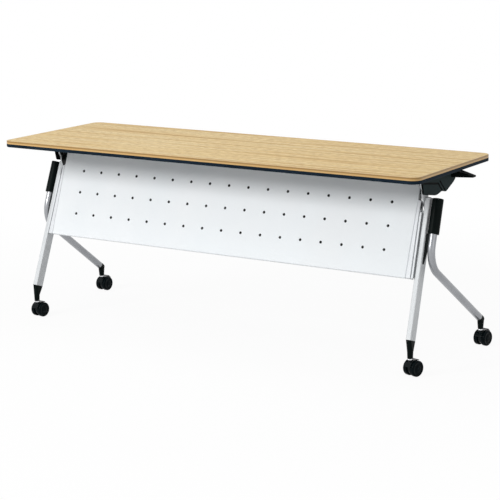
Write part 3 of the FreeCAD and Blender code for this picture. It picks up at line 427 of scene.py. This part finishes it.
def makeGroovedCover(side):
    plain, node = nodes[side + "_inner_cover"], nodes[side + "_outer_cover"]
    innerLow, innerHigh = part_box(plain.name)
    outerLow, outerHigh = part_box(node.name)
    way = 1 if side == "right" else -1
    faceX = outerHigh[0] if way > 0 else outerLow[0]
    bothX = min(innerLow[0], outerLow[0]) + max(innerHigh[0], outerHigh[0])

    # the inner half, mirrored, has no grooves yet
    shell = startCopy(plain)
    bmesh.ops.scale(shell, vec=(-1, 1, 1), verts=shell.verts[:])
    bmesh.ops.translate(shell, vec=(bothX, 0, 0), verts=shell.verts[:])
    bmesh.ops.reverse_faces(shell, faces=shell.faces[:])

    def flatFaces():
        near = grooveLook["flatMm"] * mm
        return [face for face in shell.faces
                if all(abs(vert.co.x - faceX) < near for vert in face.verts)]

    grooves = []
    for (y, z), (runY, runZ) in grooveLook["linesMm"]:
        half = Vector((0, runY, runZ)) / 2 * mm
        across = half.cross(Vector((1, 0, 0))).normalized() * grooveLook["widthMm"] / 2 * mm
        middle = Vector((faceX, y * mm, z * mm)) + half
        grooves.append((middle, half, across))
        for offset in (half, -half, across, -across):
            flat = flatFaces()
            edges = list(dict.fromkeys(edge for face in flat for edge in face.edges))
            verts = list(dict.fromkeys(vert for face in flat for vert in face.verts))
            bmesh.ops.bisect_plane(shell, geom=verts + edges + flat, plane_co=middle + offset,
                                   plane_no=offset, dist=grooveLook["cutMm"] * mm)

    def inGroove(face):
        spot = face.calc_center_median()
        return any(abs((spot - middle).dot(half)) < half.dot(half)
                   and abs((spot - middle).dot(across)) < across.dot(across)
                   for middle, half, across in grooves)

    sunk = [face for face in flatFaces() if inGroove(face)]
    floor = bmesh.ops.extrude_face_region(shell, geom=sunk)
    floor = [item for item in floor["geom"] if isinstance(item, bmesh.types.BMVert)]
    bmesh.ops.delete(shell, geom=[face for face in sunk if face.is_valid], context="FACES")
    bmesh.ops.translate(shell, vec=(-way * grooveLook["depthMm"] * mm, 0, 0), verts=floor)
    finishPiece(shell, side + "GroovedCover", grooved, "top", node.name)


for side in ("right", "left"):
    makeTrimmedCover(side)
    makeGroovedCover(side)
print("hinge covers trimmed and grooved")


# bright lip of the extruded rail beside each leg, with a dark gap on both sides of it
# offsets run outwards from the rail's side and back from the panel's face
# railSideMm is the rail's side at its top and low end: out from the middle, down the panel
lipLook = {"profileMm": ((2.2, 0.8), (9.4, 0.8), (9.4, 2.6), (5.4, 2.6), (5.4, 8.0), (0.0, 8.0),
                         (0.0, 6.2), (3.6, 6.2), (3.6, 2.6), (2.2, 2.6)),
           "railSideMm": (796.36, -14.0, 805.63, 262.0), "downMm": (26.0, 261.0),
           "bevelMm": 0.4, "bevelSegments": 2}


def makeRailLip(side, way):
    topX, topDown, lowX, lowDown = lipLook["railSideMm"]
    lean = (lowX - topX) / (lowDown - topDown)
    start, end = lipLook["downMm"]
    startX = topX + lean * (start - topDown)
    lip = bmesh.new()
    corners = [lip.verts.new(((startX + out) * mm, back * mm, -start * mm))
               for out, back in lipLook["profileMm"]]
    profile = lip.faces.new(corners)
    run = bmesh.ops.extrude_face_region(lip, geom=[profile], use_keep_orig=True)
    far = [item for item in run["geom"] if isinstance(item, bmesh.types.BMVert)]
    bmesh.ops.translate(lip, vec=Vector((lean * (end - start), 0, start - end)) * mm, verts=far)
    bmesh.ops.bevel(lip, geom=lip.edges[:], offset=lipLook["bevelMm"] * mm, affect="EDGES",
                    segments=lipLook["bevelSegments"], profile=0.5, material=-1)
    bmesh.ops.rotate(lip, matrix=Matrix.Rotation(panelTilt, 3, "X"), verts=lip.verts[:])
    bmesh.ops.translate(lip, vec=panelOrigin, verts=lip.verts[:])
    bmesh.ops.scale(lip, vec=(way, 1, 1), verts=lip.verts[:])
    bmesh.ops.recalc_face_normals(lip, faces=lip.faces[:])
    finishPiece(lip, side + "RailLip", finishes["rail"], "frame")


makeRailLip("right", 1)
makeRailLip("left", -1)
print("rail lips made")


# lock springs, a merged copy of the CAD coils carried on the top
springLook = {"joint": "lock_slide", "mergeMm": 0.001}


def makeSprings():
    node = nodes["bolt_springs"]
    coils = startCopy(node, springLook["mergeMm"])
    piece = finishPiece(coils, "lockSprings", finishes["zinc_steel"], "top",
                        node.name)
    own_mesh(piece)


makeSprings()
print("lock springs set")


# camera solved from the photo's hole grid and the top's edges, its place from the top's middle
cameraLook = {"place": (3.3418, -5.1796, 1.6694), "yaw": 32.473, "pitch": 12.331,
              "roll": -0.701, "lens": 119.04, "sensorMm": 36}


def makeCamera():
    yaw, pitch, roll = (math.radians(cameraLook[key]) for key in ("yaw", "pitch", "roll"))
    forward = Vector((-math.sin(yaw) * math.cos(pitch), math.cos(yaw) * math.cos(pitch),
                      -math.sin(pitch)))
    level = Vector((math.cos(yaw), math.sin(yaw), 0))
    down = forward.cross(level)
    right = level * math.cos(roll) - down * math.sin(roll)
    below = level * math.sin(roll) + down * math.cos(roll)
    turn = Matrix((right, -below, -forward)).transposed().to_4x4()
    boardLow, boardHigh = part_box("top_laminate")
    boardMiddle = Vector((0, (boardLow[1] + boardHigh[1]) / 2, 0))
    data = bpy.data.cameras.new("photoCamera")
    data.lens = cameraLook["lens"]
    data.sensor_width = cameraLook["sensorMm"]
    camera = bpy.data.objects.new("photoCamera", data)
    camera.matrix_world = Matrix.Translation(Vector(cameraLook["place"]) + boardMiddle) @ turn
    bpy.context.scene.collection.objects.link(camera)
    bpy.context.scene.camera = camera


# studio: pale floor that keeps the shadow and turns to plain white further out,
# white surround, soft lamps given by place, size and power
studioLook = {"floor": "F4F4F4", "floorRough": 0.9, "floorHalfM": 30.0, "shadowM": (1.3, 2.6),
              "glowShare": 0.93, "ambient": 0.40, "white": (1, 1, 1, 1), "aim": (0, 0, 0.5),
              "lamps": (("key", (-2.4, -5.0, 3.1), 1.8, 188.0),
                        ("top", (0.1, -0.4, 4.2), 4.0, 54.0),
                        ("side", (4.6, -1.2, 1.8), 2.5, 15.0))}


# one for the camera and for what shines or shows through, nought for lit surfaces
def addSeen(tree):
    path = addNode(tree, "ShaderNodeLightPath").outputs
    seen = path["Is Camera Ray"]
    for ray in ("Is Glossy Ray", "Is Transmission Ray"):
        seen = addNode(tree, "ShaderNodeMath", {"operation": "MAXIMUM"},
                       {0: seen, 1: path[ray]}).outputs[0]
    return seen


def makeFloor():
    mesh = bpy.data.meshes.new("floor")
    sheet = bmesh.new()
    bmesh.ops.create_grid(sheet, x_segments=2, y_segments=2, size=studioLook["floorHalfM"])
    sheet.to_mesh(mesh)
    sheet.free()
    floor = bpy.data.objects.new("floor", mesh)
    bpy.context.scene.collection.objects.link(floor)
    material, tree, shader, place = startMaterial("paleFloor")
    shader.inputs["Base Color"].default_value = linear(studioLook["floor"])
    shader.inputs["Roughness"].default_value = studioLook["floorRough"]
    near, far = studioLook["shadowM"]
    reach = addNode(tree, "ShaderNodeVectorMath", {"operation": "LENGTH"}, {0: place})
    share = addNode(tree, "ShaderNodeMapRange",
                    {"From Min": near, "From Max": far, "To Min": studioLook["glowShare"]},
                    {"Value": reach.outputs["Value"]})
    share = addNode(tree, "ShaderNodeMath", {"operation": "MULTIPLY"},
                    {0: share.outputs[0], 1: addSeen(tree)})
    glow = addNode(tree, "ShaderNodeEmission", {"Color": studioLook["white"], "Strength": 1.0})
    mixed = addNode(tree, "ShaderNodeMixShader", None,
                    {0: share.outputs[0], 1: shader.outputs[0], 2: glow.outputs[0]})
    under = addNode(tree, "ShaderNodeNewGeometry").outputs["Backfacing"]
    clear = addNode(tree, "ShaderNodeBsdfTransparent")
    mixed = addNode(tree, "ShaderNodeMixShader", None,
                    {0: under, 1: mixed.outputs[0], 2: clear.outputs[0]})
    tree.links.new(mixed.outputs[0], tree.nodes["Material Output"].inputs["Surface"])
    mesh.materials.append(material)


def makeSurround():
    world = bpy.data.worlds.new("studioWorld")
    world.use_nodes = True
    tree = world.node_tree
    dim = addNode(tree, "ShaderNodeBackground",
                  {"Color": studioLook["white"], "Strength": studioLook["ambient"]})
    bright = addNode(tree, "ShaderNodeBackground",
                     {"Color": studioLook["white"], "Strength": 1.0})
    mixed = addNode(tree, "ShaderNodeMixShader", None,
                    {0: addSeen(tree), 1: dim.outputs[0], 2: bright.outputs[0]})
    tree.links.new(mixed.outputs[0], tree.nodes["World Output"].inputs["Surface"])
    bpy.context.scene.world = world


def makeLamps():
    for name, place, size, power in studioLook["lamps"]:
        data = bpy.data.lights.new(name, "AREA")
        data.size = size
        data.energy = power
        lamp = bpy.data.objects.new(name, data)
        aim = Vector(studioLook["aim"]) - Vector(place)
        turn = aim.to_track_quat("-Z", "Y").to_matrix().to_4x4()
        lamp.matrix_world = Matrix.Translation(place) @ turn
        bpy.context.scene.collection.objects.link(lamp)


makeCamera()
makeFloor()
makeSurround()
makeLamps()
bpy.context.scene.view_settings.view_transform = "Standard"
print("camera and studio set")
